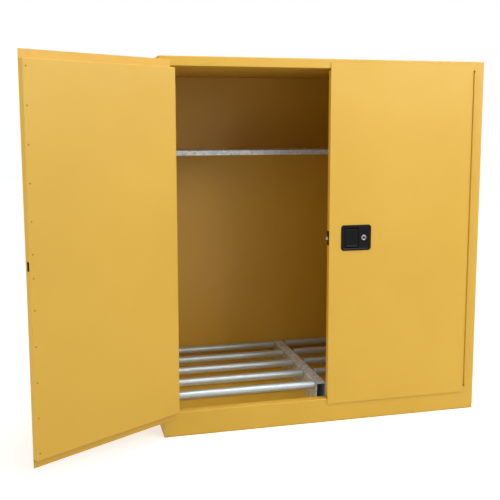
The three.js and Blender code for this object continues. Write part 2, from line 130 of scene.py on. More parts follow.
def soften(points, radii, loop=False):
    """Rounds each turn of a line of points by its own radius. The line runs square at its turns."""
    rounded = []
    for i, (point, radius) in enumerate(zip(points, radii, strict=True)):
        at_end = not loop and i in (0, len(points) - 1)
        if at_end or radius == 0:
            rounded.append(point)
            continue
        back = points[i - 1] - point
        ahead = points[(i + 1) % len(points)] - point
        back = back / np.abs(back).max() * radius
        ahead = ahead / np.abs(ahead).max() * radius
        for turn in np.linspace(0, math.pi / 2, ROUND_STEPS + 1):
            rounded.append(point + (1 - math.sin(turn)) * back + (1 - math.cos(turn)) * ahead)
    return rounded


def rounded_rectangle(u0, u1, v0, v1, corner):
    """The outline of a rectangle with round corners; it always has the same number of points."""
    centres = ((u1 - corner, v1 - corner), (u0 + corner, v1 - corner))
    centres += ((u0 + corner, v0 + corner), (u1 - corner, v0 + corner))
    outline = []
    for quarter, (u, v) in enumerate(centres):
        for step in range(CORNER_STEPS + 1):
            angle = (quarter + step / CORNER_STEPS) * math.pi / 2
            outline.append((u + corner * math.cos(angle), v + corner * math.sin(angle)))
    return outline


def ring(rect, along, inset=0.0, corner=SHARP):
    """One ring of a pressed piece: a rectangle drawn in by inset, at a place along the axis."""
    u0, u1, v0, v1 = rect
    return np.array([u0 + inset, u1 - inset, v0 + inset, v1 - inset, along, corner])


def pressed(name, axis, rings, radii, loop=False):
    """A sheet or block whose section runs through rings; radii round the section's turns."""
    loops = []
    for *rect, along, corner in soften(rings, radii, loop):
        loops.append([place(axis, u, v, along) for u, v in rounded_rectangle(*rect, corner)])
    return skin(name, loops, loop)


def block(name, axis, rect, span, edge, corner=SHARP):
    """A solid block with rounded edges."""
    low, high = span
    cap = min(rect[1] - rect[0], rect[3] - rect[2]) / 3
    rings = [
        ring(rect, low, cap),
        ring(rect, low, 0, corner),
        ring(rect, high, 0, corner),
        ring(rect, high, cap),
    ]
    return pressed(name, axis, rings, [0, edge, edge, 0])


def tray(name, axis, rect, closed_at, open_at, wall, corner, fold=FOLD):
    """An open box of sheet with its flat face at closed_at."""
    inner = closed_at + math.copysign(wall, open_at - closed_at)
    rings = [
        ring(rect, closed_at, CAP),
        ring(rect, closed_at, 0, corner),
        ring(rect, open_at, 0, corner),
        ring(rect, open_at, wall, max(corner - wall, SHARP)),
        ring(rect, inner, wall, max(corner - wall, SHARP)),
        ring(rect, inner, CAP),
    ]
    return pressed(name, axis, rings, [0, fold, SHARP, SHARP, fold - wall, 0])


def offset(line, distance):
    """A square-cornered line moved sideways, its corners kept."""
    steps = [(b - a) / np.linalg.norm(b - a) for a, b in zip(line, line[1:])]
    normals = [np.array([-step[1], step[0]]) for step in steps]
    before = [normals[0], *normals]
    after = [*normals, normals[-1]]
    return [p + distance * (m + n) / (1 + m @ n) for p, m, n in zip(line, before, after, strict=True)]


def folded(name, axis, line, wall, span, fold=FOLD):
    """Sheet folded along a line of (u, v) points, which is its outer face, and drawn along an axis."""
    outer = [np.array(point, float) for point in line]
    inner = offset(outer, wall)
    outline = soften(outer, [fold] * len(outer))
    outline += soften(inner, [fold - abs(wall)] * len(inner))[::-1]
    return skin(name, [[place(axis, u, v, along) for u, v in outline] for along in span])


def circle(radius, sides=SIDES):
    """Points round a circle."""
    turns = np.linspace(0, 2 * math.pi, sides, endpoint=False)
    return [(radius * math.cos(turn), radius * math.sin(turn)) for turn in turns]


def turned(name, axis, centre, profile, sides=SIDES, hollow=False):
    """A round piece from (radius, along) points; a hollow profile closes on itself."""
    u0, v0 = centre
    loops = []
    for radius, along in profile:
        points = circle(max(radius, SHARP / 10), sides)
        loops.append([place(axis, u0 + u, v0 + v, along) for u, v in points])
    return skin(name, loops, hollow)


def chamfered(name, axis, centre, radius, span, chamfer, sides=SIDES):
    """A round bar with chamfered ends."""
    low, high = span
    end_radius = radius - chamfer
    profile = [(end_radius, low), (radius, low + chamfer), (radius, high - chamfer), (end_radius, high)]
    return turned(name, axis, centre, profile, sides)


def perforated(name, axis, outline, holes, span):
    """A flat plate with holes, all of them lists of (u, v) points."""
    loops = [outline, *holes]
    flat = [point for loop in loops for point in loop]
    triangles = tessellate_polygon([[Vector((u, v, 0)) for u, v in loop] for loop in loops])
    vertices = [place(axis, u, v, along) for along in span for u, v in flat]
    faces = [tuple(triangle) for triangle in triangles]
    faces += [tuple(index + len(flat) for index in triangle) for triangle in triangles]
    start = 0
    for loop in loops:
        for k in range(len(loop)):
            here = start + k
            following = start + (k + 1) % len(loop)
            faces.append((here, following, following + len(flat), here + len(flat)))
        start += len(loop)
    return make(name, vertices, faces)


def shaped(obj, operation, *tools):
    """Applies a Boolean operation with each tool to an object, and removes the tools."""
    for tool in tools:
        modifier = obj.modifiers.new(operation.lower(), "BOOLEAN")
        modifier.operation = operation
        modifier.solver = "EXACT"
        modifier.object = tool
    settle(obj)
    for tool in tools:
        bpy.data.objects.remove(tool)
    return obj


def carve(obj, *tools):
    """Cuts tools out of an object."""
    return shaped(obj, "DIFFERENCE", *tools)


def unite(obj, *tools):
    """Joins tools to an object."""
    return shaped(obj, "UNION", *tools)


def gather(name, parts):
    """Puts the meshes of several objects, which keep their places, into one object."""
    shape = bmesh.new()
    for part in parts:
        shape.from_mesh(part.data)
        bpy.data.objects.remove(part)
    mesh = bpy.data.meshes.new(name)
    shape.to_mesh(mesh)
    shape.free()
    return add(name, mesh)


def break_edges(obj, width):
    """Rounds an object's sharp edges."""
    bevel = obj.modifiers.new("edges", "BEVEL")
    bevel.width = width
    bevel.segments = 2
    bevel.limit_method = "ANGLE"
    bevel.angle_limit = math.radians(40)
    return settle(obj)


def shade(obj):
    """Smooth shading that keeps creases, with flat faces kept flat."""
    mesh = obj.data
    shape = bmesh.new()
    shape.from_mesh(mesh)
    for face in shape.faces:
        face.smooth = True
    for edge in shape.edges:
        edge.smooth = len(edge.link_faces) == 2 and edge.calc_face_angle() < SHARP_ANGLE
    shape.to_mesh(mesh)
    shape.free()
    weights = obj.modifiers.new("flat_faces", "WEIGHTED_NORMAL")
    weights.keep_sharp = True
    return obj


def stand_in(obj, node, *more_finishes):
    """Has an object stand for a CAD node: it takes the node's body, slot and finish."""
    shade(obj)
    obj.data.materials.clear()
    for finish in (FINISHES[SLOT_OF[node]], *more_finishes):
        obj.data.materials.append(finish)
    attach(obj, BODY_OF[node])
    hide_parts(node)
    return obj


# ---- Places shared by several pieces ----
def across(node, axis):
    """The centre of a node, as its two coordinates across an axis."""
    low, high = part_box(node)
    middle = (low + high) / 2
    return {"x": (middle.y, middle.z), "y": (middle.x, middle.z), "z": (middle.x, middle.y)}[axis]


def x_rect(node, side=1):
    """A node's rectangle across y, as (x0, x1, z0, z1), mirrored for the other side."""
    low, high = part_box(node)
    x0, x1 = sorted((side * low.x, side * high.x))
    return (x0, x1, low.z, high.z)


def swing_of(side):
    """Turns a door from shut to where it stands at rest."""
    joint = JOINTS[f"{SIDE_NAMES[side]}_door_hinge"]
    shut = min(joint["range_deg"][0], 0)
    pin = Vector(joint["pos_m"])
    turn = Matrix.Rotation(math.radians(-shut), 4, Vector(joint["axis"]))
    return Matrix.Translation(pin) @ turn @ Matrix.Translation(-pin)


def on_door(obj, side):
    """Moves a piece built on the shut door to where that door stands at rest."""
    obj.data.transform(swing_of(side))
    return obj


def hole(axis, centre, radius, span, sides=SIDES):
    """A cutting bar."""
    return turned("tool", axis, centre, [(radius, along) for along in span], sides)


SHELL_LOW, SHELL_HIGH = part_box("front_frame")
TOP = SHELL_HIGH.z
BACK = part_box("outer_back")[1].y
FRONT = SHELL_LOW.y
LATCH_HEIGHT = across("latch_bolt", "x")[1]
PADDLE_AXIS = JOINTS["paddle_pivot"]["pos_m"][1:]
LOCK_X, _, LOCK_Z = JOINTS["lock_turn"]["pos_m"]
DOORWAY = (
    -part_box("hinge_leaf_frame_right")[1].x - SEAM,
    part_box("hinge_leaf_frame_right")[1].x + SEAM,
    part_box("sump_pan")[1].z + PLATE,
    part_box("inner_ceiling")[0].z,
)


# ---- Finishes ----
class Nodes:
    """A node tree, with short calls for what is done often in one."""

    def __init__(self, tree):
        self.tree = tree

    def put(self, socket, value):
        """Sets an input, or links another node's output to it."""
        if isinstance(value, bpy.types.NodeSocket):
            self.tree.links.new(value, socket)
        else:
            socket.default_value = value

    def node(self, kind, inputs=None, **settings):
        """Adds a node; each input is a value or another node's output."""
        made = self.tree.nodes.new(kind)
        for setting, value in settings.items():
            setattr(made, setting, value)
        for socket, value in (inputs or {}).items():
            self.put(made.inputs[socket], value)
        return made

    def remap(self, value, low, high, start=0.0, end=1.0):
        """Takes low to start and high to end, and holds there beyond them."""
        inputs = {"Value": value, "From Min": low, "From Max": high, "To Min": start, "To Max": end}
        return self.node("ShaderNodeMapRange", inputs, clamp=True).outputs["Result"]

    def camera_ray(self):
        """1 for what the camera sees directly, 0 for what lights something."""
        return self.node("ShaderNodeLightPath").outputs["Is Camera Ray"]


class Finish(Nodes):
    """A material, built round its Principled shader."""

    def __init__(self, name, **principled):
        self.material = bpy.data.materials.new(name)
        self.material.use_nodes = True
        super().__init__(self.material.node_tree)
        self.surface = self.tree.nodes["Principled BSDF"]
        self.place = self.node("ShaderNodeTexCoord").outputs["Object"]
        self.show(**principled)

    def noise(self, scale, detail=2.0, stretch=(1.0, 1.0, 1.0)):
        """Cloudy noise from 0 to 1; scale is in features for each metre."""
        place = self.node("ShaderNodeMapping", {"Vector": self.place, "Scale": stretch}).outputs["Vector"]
        inputs = {"Vector": place, "Scale": scale, "Detail": detail}
        return self.node("ShaderNodeTexNoise", inputs).outputs["Fac"]

    def cells(self, scale):
        """Crystals: a node with a Color and a Distance."""
        return self.node("ShaderNodeTexVoronoi", {"Vector": self.place, "Scale": scale})

    def mix(self, share, first, second):
        """Blends from a first colour to a second."""
        made = self.node("ShaderNodeMix", data_type="RGBA")
        for index, value in ((0, share), (6, first), (7, second)):
            self.put(made.inputs[index], value)
        return made.outputs[2]

    def bump(self, height, distance, strength=1.0, under=None):
        """A bumpy normal, over another one if given."""
        inputs = {"Height": height, "Distance": distance, "Strength": strength}
        if under:
            inputs["Normal"] = under
        return self.node("ShaderNodeBump", inputs).outputs["Normal"]

    def edges(self, radius):
        """1 along outer and inner edges of the mesh, 0 on its flat faces."""
        rounded = self.node("ShaderNodeBevel", {"Radius": radius}, samples=4).outputs["Normal"]
        plain = self.node("ShaderNodeNewGeometry").outputs["Normal"]
        inputs = {0: rounded, 1: plain}
        along = self.node("ShaderNodeVectorMath", inputs, operation="DOT_PRODUCT").outputs["Value"]
        return self.remap(along, 0.995, 0.9)

    def show(self, **sockets):
        """Wires the shader's inputs and gives the finished material."""
        for socket, value in sockets.items():
            self.put(self.surface.inputs[socket.replace("_", " ")], value)
        return self.material


def yellow_paint():
    """Satin powder coat: an orange-peel skin, faint drift in tone, and thin paint on the edges."""
    finish = Finish("yellow_paint", Specular_IOR_Level=0.85)
    drift = finish.remap(finish.noise(2.2, 3.0), 0.3, 0.7)
    body = finish.mix(drift, (0.715, 0.412, 0.026, 1), (0.755, 0.446, 0.034, 1))
    speck = finish.remap(finish.noise(900.0, 2.0), 0.62, 0.75, 0.0, 0.22)
    body = finish.mix(speck, body, (0.62, 0.34, 0.03, 1))
    chips = finish.remap(finish.noise(60.0, 5.0), 0.48, 0.72)
    worn = finish.node("ShaderNodeMath", {0: finish.edges(1.2 * MM), 1: chips}, operation="MULTIPLY")
    body = finish.mix(worn.outputs["Value"], body, (0.86, 0.62, 0.20, 1))
    gloss = finish.remap(finish.noise(7.0, 4.0), 0.3, 0.7, 0.42, 0.52)
    sheet = finish.bump(finish.noise(3.2, 1.0), 1.2 * MM, 0.35)
    peel = finish.bump(finish.noise(330.0, 2.0), 0.1 * MM, 0.55, sheet)
    return finish.show(Base_Color=body, Roughness=gloss, Normal=peel)


def primer():
    """Painted shade: a near-black finish on the faces inside the hollow doors, standing in for the dark within
    them.
    """
    finish = Finish("primer")
    grain = finish.noise(400.0, 3.0)
    body = finish.mix(finish.remap(grain, 0.4, 0.65), (0.006, 0.004, 0.005, 1), (0.016, 0.011, 0.012, 1))
    return finish.show(Base_Color=body, Roughness=finish.remap(grain, 0.3, 0.7, 0.5, 0.75))


def weld_stain():
    """Darker paint on the dished floors and walls of the spot welds."""
    finish = Finish("weld_stain")
    mottle = finish.noise(700.0, 3.0)
    body = finish.mix(finish.remap(mottle, 0.4, 0.65), (0.30, 0.16, 0.018, 1), (0.46, 0.26, 0.030, 1))
    return finish.show(Base_Color=body, Roughness=finish.remap(mottle, 0.3, 0.7, 0.45, 0.65))


def galvanised():
    """Hot-dip zinc: crystals a centimetre or so wide, each with its own tone and shine; their pale blue-white is
    partly the zinc's own colour and partly painted reflection of a bright room.
    """
    finish = Finish("galvanised", Metallic=0.3)
    crystals = finish.cells(75.0)
    tone = finish.node("ShaderNodeSeparateColor", {"Color": crystals.outputs["Color"]}).outputs["Red"]
    frost = finish.noise(420.0, 4.0)
    # The pale, bluish body is partly painted reflection of a bright room.
    body = finish.mix(tone, (0.55, 0.64, 0.70, 1), (0.84, 0.92, 0.97, 1))
    body = finish.mix(finish.remap(frost, 0.5, 0.72, 0.0, 0.3), body, (0.86, 0.89, 0.90, 1))
    shine = finish.remap(tone, 0.0, 1.0, 0.50, 0.36)
    grain = finish.bump(crystals.outputs["Distance"], 0.12 * MM, 0.3)
    normal = finish.bump(frost, 0.04 * MM, 0.2, grain)
    return finish.show(Base_Color=body, Roughness=shine, Normal=normal)


def roller_tube():
    """Zinc-plated tube: a soft satin shine, faint draw lines along it and rubbed rings round it; its blue-grey is
    partly the zinc's own colour and partly painted reflection of pale-blue drums.
    """
    finish = Finish("roller_tube", Metallic=0.55)
    lines = finish.noise(240.0, 3.0, (0.05, 1.0, 1.0))
    rings = finish.noise(90.0, 4.0, (1.0, 0.05, 0.05))
    # The blue tint is partly painted reflection of pale-blue drums standing on the rollers.
    body = finish.mix(finish.remap(lines, 0.3, 0.7), (0.52, 0.61, 0.64, 1), (0.62, 0.70, 0.73, 1))
    body = finish.mix(finish.remap(rings, 0.6, 0.75, 0.0, 0.35), body, (0.50, 0.54, 0.56, 1))
    shine = finish.remap(rings, 0.35, 0.7, 0.34, 0.44)
    return finish.show(Base_Color=body, Roughness=shine, Normal=finish.bump(lines, 0.02 * MM, 0.15))


def plain_steel():
    """Bright zinc-plated bar, with a slight yellow to its passivation."""
    finish = Finish("plain_steel", Metallic=1.0)
    haze = finish.noise(140.0, 5.0)
    body = finish.mix(finish.remap(haze, 0.35, 0.65), (0.52, 0.53, 0.54, 1), (0.72, 0.72, 0.70, 1))
    shine = finish.remap(haze, 0.3, 0.7, 0.26, 0.42)
    return finish.show(Base_Color=body, Roughness=shine, Normal=finish.bump(haze, 0.04 * MM, 0.3))


def black_plastic():
    """Moulded glass-filled nylon: a fine spark texture, and edges made lighter, partly rubbed by hands and partly
    a painted highlight along the rims.
    """
    finish = Finish("black_plastic", Specular_IOR_Level=0.32)
    grain = finish.noise(1600.0, 2.0)
    body = finish.mix(finish.remap(grain, 0.4, 0.7), (0.002, 0.0015, 0.002, 1), (0.006, 0.004, 0.005, 1))
    # Lighter edges: partly rubbed by hands, partly a painted highlight along the rims.
    body = finish.mix(finish.edges(0.8 * MM), body, (0.020, 0.017, 0.018, 1))
    shine = finish.remap(finish.noise(40.0, 4.0), 0.3, 0.7, 0.16, 0.26)
    return finish.show(Base_Color=body, Roughness=shine, Normal=finish.bump(grain, 0.05 * MM, 0.5))


def nickel_plate():
    """Bright nickel, lightly scuffed."""
    finish = Finish("nickel_plate", Metallic=1.0)
    scuffs = finish.noise(300.0, 6.0)
    body = finish.mix(finish.remap(scuffs, 0.4, 0.7), (0.66, 0.60, 0.60, 1), (0.50, 0.45, 0.44, 1))
    shine = finish.remap(scuffs, 0.35, 0.7, 0.12, 0.30)
    return finish.show(Base_Color=body, Roughness=shine, Normal=finish.bump(scuffs, 0.02 * MM, 0.3))


def lock_plug():
    """Blackened steel."""
    finish = Finish("lock_plug", Metallic=0.8)
    mottle = finish.noise(500.0, 4.0)
    body = finish.mix(finish.remap(mottle, 0.4, 0.7), (0.05, 0.05, 0.05, 1), (0.13, 0.12, 0.12, 1))
    return finish.show(Base_Color=body, Roughness=finish.remap(mottle, 0.3, 0.7, 0.3, 0.5))


def brass():
    """Turned brass, dulled unevenly by handling."""
    finish = Finish("brass", Metallic=1.0)
    tarnish = finish.noise(120.0, 5.0)
    body = finish.mix(finish.remap(tarnish, 0.4, 0.65), (0.80, 0.58, 0.25, 1), (0.47, 0.31, 0.12, 1))
    shine = finish.remap(tarnish, 0.35, 0.65, 0.18, 0.42)
    return finish.show(Base_Color=body, Roughness=shine, Normal=finish.bump(tarnish, 0.04 * MM, 0.3))


# Each finish of the CAD is named after its function here.
SLOT_FINISHES = (yellow_paint, galvanised, roller_tube, plain_steel, black_plastic, nickel_plate, brass)
FINISHES = {finish.__name__: finish() for finish in SLOT_FINISHES}
# The first of these is painted shade inside the hollow doors; the second darkens the weld dishes.
HIDDEN_IN_DOORS = (primer(), weld_stain())


# ---- Shell ----
FRAME_RETURN = 15 * MM
REAR_FOLD = 18 * MM
STRIKE_HOLE = 7 * MM
SUMP = Values(corner=8 * MM, fold=6 * MM)
VENT = Values(pipe=30 * MM, hole=30.5 * MM, bore=25.4 * MM, lock_ring=36 * MM, rim=3 * MM)

# Spot welds stand in columns. Above the latch's height, and below it, the first is near the latch
# and an even row follows.
WELD = Values(radius=4.2 * MM, depth=0.9 * MM, from_edge=13 * MM)
WELD_ROW = Values(by_latch=44 * MM, next=163 * MM, even=5)


def weld_heights(low, high, from_end):
    """Heights for a column of welds on a panel from low to high, the last ones from_end inside it."""
    heights = []
    for way, reach in ((1, high - LATCH_HEIGHT), (-1, LATCH_HEIGHT - low)):
        row = np.linspace(WELD_ROW.next, reach - from_end, WELD_ROW.even)
        heights += [LATCH_HEIGHT + way * step for step in (WELD_ROW.by_latch, *row)]
    return heights


def weld_marks(columns, heights, face_y):
    """Shallow dishes left by a spot welder in a face that looks backwards, as one cutting tool."""
    radius = WELD.radius
    depth = WELD.depth
    profile = [
        (0.4 * radius, face_y - depth),
        (0.8 * radius, face_y - 0.7 * depth),
        (radius, face_y),
        (1.05 * radius, face_y + depth),
    ]
    marks = [turned("tool", "y", (x, z), profile, FEW_SIDES) for x in columns for z in heights]
    return gather("tool", marks)


def front_frame():
    """Stiles, header and sill in one, turned back outside and folded in round the doorway."""
    outer = (SHELL_LOW.x, SHELL_HIGH.x, SHELL_LOW.z, TOP)
    behind = SHELL_HIGH.y
    rings = [
        ring(outer, FRONT + TURN),
        ring(outer, FRONT),
        ring(outer, FRONT, CAP),
        ring(DOORWAY, FRONT, -CAP),
        ring(DOORWAY, FRONT),
        ring(DOORWAY, behind),
        ring(DOORWAY, behind, -FRAME_RETURN),
        ring(DOORWAY, behind - PLATE, -FRAME_RETURN),
        ring(DOORWAY, behind - PLATE, -PLATE),
        ring(DOORWAY, FRONT + PLATE, -PLATE),
        ring(outer, FRONT + PLATE, CAP),
        ring(outer, FRONT + PLATE, PLATE),
        ring(outer, FRONT + TURN, PLATE),
    ]
    inside = FOLD - PLATE
    radii = [0, FOLD, 0, 0, FOLD, FOLD, 0, 0, inside, 0, 0, inside, 0]
    face = pressed("welded_front_frame", "y", rings, radii, loop=True)
    for rod, end in (("latch_rod_bottom", DOORWAY[2]), ("latch_rod_top", DOORWAY[3])):
        span = (end - FRAME_RETURN, end + FRAME_RETURN)
        carve(face, hole("z", across(rod, "z"), STRIKE_HOLE, span, SMALL_SIDES))
    stand_in(face, "front_frame")


def outer_side(side):
    """A side sheet, folded in behind, with the vent's hole."""
    name = SIDE_NAMES[side]
    low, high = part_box("outer_side_right")
    sheet_x = side * high.x
    folded_x = sheet_x - side * REAR_FOLD
    rear = BACK - TURN - SEAM
    line = [(sheet_x, FRONT + TURN + SEAM), (sheet_x, rear), (folded_x, rear)]
    sheet = folded(f"side_panel_{name}", "z", line, side * SHEET, (low.z, TOP - TURN - SEAM))
    span = (folded_x, sheet_x + side * REAR_FOLD)
    vent_hole = hole("x", across(f"vent_{name}", "x"), VENT.hole, span)
    stand_in(carve(sheet, vent_hole), f"outer_side_{name}")


def outer_top():
    """The top sheet, turned down at both sides."""
    low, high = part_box("outer_top")
    line = [(low.x, TOP - TURN), (low.x, TOP), (high.x, TOP), (high.x, TOP - TURN)]
    span = (FRONT + TURN + SEAM, BACK - TURN - SEAM)
    stand_in(folded("top_panel", "y", line, -SHEET, span), "outer_top")


def outer_back():
    """The back sheet, turned forward all round and spot-welded down both edges."""
    low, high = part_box("outer_back")
    rect = (low.x, high.x, low.z, TOP)
    sheet = tray("back_panel", "y", rect, BACK, BACK - TURN, SHEET, SHARP)
    columns = (low.x + WELD.from_edge, high.x - WELD.from_edge)
    heights = weld_heights(low.z, TOP, 2 * WELD.from_edge)
    stand_in(carve(sheet, weld_marks(columns, heights, BACK)), "outer_back")


def sump_pan():
    """The liquid-tight pan under the drums."""
    low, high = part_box("sump_pan")
    rect = (low.x, high.x, low.y, high.y)
    pan = tray("sump_tray", "z", rect, low.z, high.z, SHEET, SUMP.corner, SUMP.fold)
    stand_in(pan, "sump_pan")


# ---- Doors ----
DOOR = Values(edge=0.7 * MM, corner=1.5 * MM, hinge_gap=1.6 * MM)
PAN = Values(corner=2 * MM, last_weld=28 * MM)
STRIKE = Values(front=5 * MM, back=20 * MM, half_height=18 * MM, corner=2 * MM, depth=20 * MM)
BOLT_PLAY = 0.75 * MM
ROD_HOLE = 6.5 * MM
BEZEL_TRAY = 8 * MM  # inset of the tray behind the latch's surround
BEZEL_GRIP = 0.4 * MM  # how far the surround closes over the cut edge of the door's face


def bolt_slot():
    """The opening that the bolt slides through, as (y0, y1, z0, z1)."""
    low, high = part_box("latch_bolt")
    return (low.y - BOLT_PLAY, high.y + BOLT_PLAY, low.z - BOLT_PLAY, high.z + BOLT_PLAY)


def door_skin(side):
    """A door's outer sheet, short of its hinge; the right-hand one is cut out for the latch."""
    name = SIDE_NAMES[side]
    low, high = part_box("door_skin_right")
    edges = sorted((side * low.x, side * (high.x - DOOR.hinge_gap)))
    rect = (*edges, low.z, high.z)
    sheet = block(f"door_face_{name}", "y", rect, (low.y, high.y), DOOR.edge, DOOR.corner)
    if side > 0:
        rim = BEZEL_TRAY + BEZEL_GRIP
        x0, x1, z0, z1 = x_rect("latch_bezel")
        opening = (x0 + rim, x1 - rim, z0 + rim, z1 - rim)
        carve(sheet, block("tool", "y", opening, (low.y - CAP, high.y + CAP), SHARP))
    stand_in(on_door(sheet, side), f"door_skin_{name}")


def strike_pocket(mouth, slot):
    """The box behind the slot that takes the bolt; it takes the door's painted shade, so it shows dark."""
    y0, y1, z0, z1 = slot
    around = (y0 - MM, y1 + MM, z0 - MM, z1 + MM)
    return tray("pocket", "x", around, mouth - STRIKE.depth, mouth, MM, STRIKE.corner + MM)


def door_pan(side):
    """A door's inner tray, dimpled by welds, with the holes that the latch works through."""
    name = SIDE_NAMES[side]
    low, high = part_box("door_pan_right")
    rect = x_rect("door_pan_right", side)
    pan = tray(f"door_back_{name}", "y", rect, high.y, low.y, SHEET, PAN.corner)
    free_column = side * (low.x + WELD.from_edge)
    hinge_column = side * (high.x - WELD.from_edge)
    heights = weld_heights(low.z, high.z, PAN.last_weld)
    carve(pan, weld_marks((free_column, hinge_column), heights, high.y))
    if side < 0:
        bottom = LATCH_HEIGHT - STRIKE.half_height
        top = LATCH_HEIGHT + STRIKE.half_height
        slot = (FRONT + STRIKE.front, FRONT + STRIKE.back, bottom, top)
        carve(pan, block("tool", "x", slot, (-2 * low.x, 0), SHARP, STRIKE.corner))
        pan = gather(pan.name, [pan, strike_pocket(-low.x - SHEET, slot)])
    else:
        carve(pan, block("tool", "x", bolt_slot(), (0, 2 * low.x), SHARP))
        for rod, end in (("latch_rod_bottom", low.z), ("latch_rod_top", high.z)):
            carve(pan, hole("z", across(rod, "z"), ROD_HOLE, (end - CAP, end + CAP), SMALL_SIDES))
    stand_in(pan, f"door_pan_{name}", *HIDDEN_IN_DOORS)
    x0, x1, z0, z1 = rect
    for polygon in pan.data.polygons:
        x, y, z = polygon.center
        deep = min(x - x0, x1 - x, z - z0, z1 - z, high.y - y)
        # Faces inside the hollow door, the strike pocket among them, take the painted shade.
        if deep > SHEET - SHARP:
            polygon.material_index = 1
        # The dishes of the welds down the free edge are painted darker.
        elif deep > WELD.depth / 2 and abs(x - free_column) < 1.2 * WELD.radius:
            polygon.material_index = 2
    on_door(pan, side)


HINGE = Values(knuckles=60, outer=3.5 * MM, bore=1.9 * MM, gap=0.4 * MM, edge=0.4 * MM)
PIN_CHAMFER = 0.5 * MM

# Turns round a knuckle, in half circles: fine where it shows, coarse where it meets its leaf.
KNUCKLE_TURNS = (*np.linspace(0, 1.25, SMALL_SIDES)[1:], *np.linspace(1.25, 1.75, 8)[1:])


def knuckle(pin, strip, join_y, span):
    """One rolled knuckle: the leaf's strip runs forward into a ring round the pin."""
    pin_x, pin_y = pin
    near, far = strip
    sign = math.copysign(1, far - pin_x)
    reach = sign * (near - pin_x)
    outline = [(far, join_y), (far, pin_y)]
    for turn in KNUCKLE_TURNS:
        u = HINGE.outer * math.cos(turn * math.pi)
        v = HINGE.outer * math.sin(turn * math.pi)
        if v > 0 or u < reach:
            outline.append((pin_x + sign * u, pin_y - v))
    outline += [(near, pin_y + math.sqrt(HINGE.outer ** 2 - reach**2)), (near, join_y)]
    bore = [(pin_x + u, pin_y + v) for u, v in circle(HINGE.bore, SMALL_SIDES)]
    return perforated("knuckle", "z", outline, [bore], span)


def hinge_leaf(side, owner):
    """A leaf of the piano hinge, with every other knuckle; the two leaves' knuckles alternate."""
    name = SIDE_NAMES[side]
    low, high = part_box(f"hinge_leaf_{owner}_right")
    pin_x, pin_y = across("hinge_pin_right", "z")
    join_y = pin_y + HINGE.outer + SEAM
    if owner == "frame":
        outside, inside, first = high.x, high.x - PLATE, 0
    else:
        outside, inside, first = low.x, low.x + PLATE, 1
    strip = (side * inside, side * outside)
    parts = [block("leaf", "z", (*sorted(strip), join_y, high.y), (low.z, high.z), HINGE.edge)]
    pitch = (high.z - low.z) / HINGE.knuckles
    for i in range(first, HINGE.knuckles, 2):
        start = low.z + i * pitch
        span = (start + HINGE.gap, start + pitch - HINGE.gap)
        parts.append(knuckle((side * pin_x, pin_y), strip, join_y, span))
    leaf = gather(f"piano_hinge_{owner}_{name}", parts)
    if owner == "door":
        on_door(leaf, side)
    stand_in(leaf, f"hinge_leaf_{owner}_{name}")


def round_bar(node, name, axis, chamfer):
    """A plain round bar in the place of a node."""
    low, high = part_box(node)
    radius = (high.x - low.x) / 2 if axis == "z" else (high.z - low.z) / 2
    span = (low.z, high.z) if axis == "z" else (low.x, high.x)
    stand_in(chamfered(name, axis, across(node, axis), radius, span, chamfer, SMALL_SIDES), node)


# ---- Shelf and roller beds ----
SHELF = Values(hem=10 * MM, corner=4 * MM)
RAIL_FOLD = 4 * MM
AXLE_HOLE = 6.2 * MM
AXLE_CHAMFER = 0.8 * MM
ROLLERS = 5

# Radius and depth, in millimetres, of each turn of a roller's end from the axle outwards: the
# bearing, the gap round it and the pressed cap; then the same for the tube's rim, from its edge.
ROLLER_CAP = ((6.2, 1.0), (10.0, 1.0), (10.4, 1.8), (12.6, 1.8), (13.0, 0.8), (16.0, 0.8), (16.8, 0.3))
ROLLER_RIM = ((1.2, 0.0), (0.35, 0.35), (0.0, 1.2))


def shelf():
    """A pressed tray turned upside down, its rim hemmed inwards."""
    low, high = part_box("shelf")
    rect = (low.x, high.x, low.y, high.y)
    corner = SHELF.corner
    rings = [
        ring(rect, high.z, CAP),
        ring(rect, high.z, 0, corner),
        ring(rect, low.z, 0, corner),
        ring(rect, low.z, SHELF.hem),
        ring(rect, low.z + PLATE, SHELF.hem),
        ring(rect, low.z + PLATE, PLATE, corner - PLATE),
        ring(rect, high.z - PLATE, PLATE, corner - PLATE),
        ring(rect, high.z - PLATE, CAP),
    ]
    inside = FOLD - PLATE
    stand_in(pressed("half_depth_shelf", "z", rings, [0, FOLD, FOLD, 0, 0, inside, inside, 0]), "shelf")


def shelf_bracket(side):
    """The angle that carries one end of the shelf."""
    name = SIDE_NAMES[side]
    low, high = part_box("shelf_bracket_right")
    line = [(side * low.x, high.z), (side * high.x, high.z), (side * high.x, low.z)]
    bracket = folded(f"shelf_angle_{name}", "y", line, -side * PLATE, (low.y, high.y))
    stand_in(bracket, f"shelf_bracket_{name}")


def rail(side, place_name):
    """A channel with its web towards the rollers and a hole in the web for each axle."""
    name = SIDE_NAMES[side]
    node = f"rail_{name}_{place_name}"
    low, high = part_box(f"rail_right_{place_name}")
    web, tips = (high.x, low.x) if place_name == "inner" else (low.x, high.x)
    line = [(side * tips, low.z), (side * web, low.z), (side * web, high.z), (side * tips, high.z)]
    wall = math.copysign(RAIL_PLATE, side * (web - tips))
    channel = folded(f"channel_{node}", "y", line, wall, (low.y, high.y), RAIL_FOLD)
    span = (side * (web - 2 * RAIL_PLATE), side * (web + 2 * RAIL_PLATE))
    for number in range(1, ROLLERS + 1):
        carve(channel, hole("x", across(f"axle_{name}_{number}", "x"), AXLE_HOLE, span, SMALL_SIDES))
    stand_in(channel, node)


def roller(node):
    """A tube with a pressed cap and a bearing set into each end."""
    low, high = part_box(node)
    radius = (high.z - low.z) / 2
    end = [(r * MM, depth * MM) for r, depth in ROLLER_CAP]
    end += [(radius - inset * MM, depth * MM) for inset, depth in ROLLER_RIM]
    profile = [(r, low.x + depth) for r, depth in end]
    profile += [(r, high.x - depth) for r, depth in reversed(end)]
    stand_in(turned(f"drum_{node}", "x", across(node, "x"), profile, hollow=True), node)


